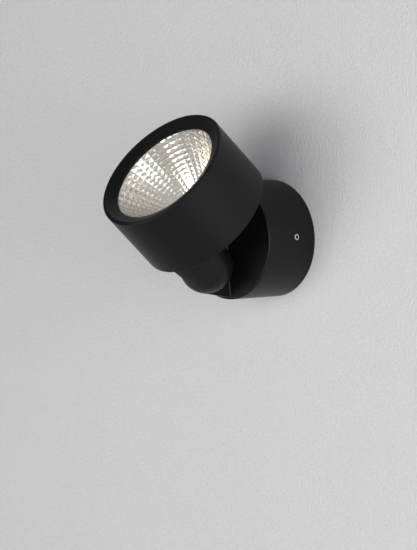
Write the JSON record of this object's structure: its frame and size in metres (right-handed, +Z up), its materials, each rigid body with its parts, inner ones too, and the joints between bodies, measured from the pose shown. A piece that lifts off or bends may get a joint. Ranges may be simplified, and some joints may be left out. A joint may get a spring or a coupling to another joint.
{
  "type": "pivoting spotlight wall light",
  "caption": "Black wall spotlight: a round base casing carries a round tilting head on a split tapered knuckle, with a faceted reflector behind glass.",
  "frame": {"origin": "middle of the wall bracket's back face, halfway between the two wall-screw slots, in the plane of the wall", "axes": "+Z up, +Y into the wall along the base casing's axis, so the lamp stands out towards -Y; +X to the right when facing the wall, and the tilt axis is parallel to X"},
  "size_m": [0.1, 0.1385, 0.1306],
  "materials": {
    "black_casing": "matte black fine-texture powder coat on die-cast aluminium",
    "zinc_plated_steel": "bright zinc plate",
    "stainless_steel": "plain stainless steel",
    "black_rubber": "matte moulded rubber",
    "white_plastic": "satin moulded plastic",
    "brass": "plain turned brass",
    "bearing_plastic": "smooth low-friction plastic",
    "silicone": "soft translucent grey silicone",
    "clear_glass": "clear tempered float glass, ground edge",
    "bright_aluminium": "vacuum-metallised, faceted",
    "board_aluminium": "white-coated metal-core board",
    "led_phosphor": "warm yellow phosphor resin, lit",
    "plain_aluminium": "plain cast aluminium"
  },
  "bodies": {
    "base": {"wall_bracket": "zinc_plated_steel", "base_housing": "black_casing", "grub_screws": "stainless_steel", "cable_grommet": "black_rubber", "led_driver": "white_plastic", "driver_screws": "zinc_plated_steel", "terminal_block": "white_plastic", "terminal_screws": "brass", "earth_screw": "brass", "pivot_tube": "zinc_plated_steel", "base_pivot_nut": "zinc_plated_steel", "head_pivot_nut": "zinc_plated_steel", "friction_washer": "bearing_plastic", "spring_washer": "stainless_steel", "stop_pin": "stainless_steel"},
    "head": {"head_housing": "black_casing", "front_ring": "black_casing", "glass_gasket": "silicone", "front_glass": "clear_glass", "reflector": "bright_aluminium", "led_holder": "white_plastic", "holder_screws": "stainless_steel", "led_board": "board_aluminium", "led_emitter": "led_phosphor", "thermal_pad": "silicone", "heat_sink": "plain_aluminium", "heat_sink_screws": "stainless_steel", "wire_bushing": "black_rubber"}
  },
  "joints": [
    {"name": "tilt", "type": "hinge", "parent": "base", "child": "head", "pos_m": [0, -0.0675, -0.01723], "axis": [1, 0, 0], "range_deg": [0, 125]}
  ]
}
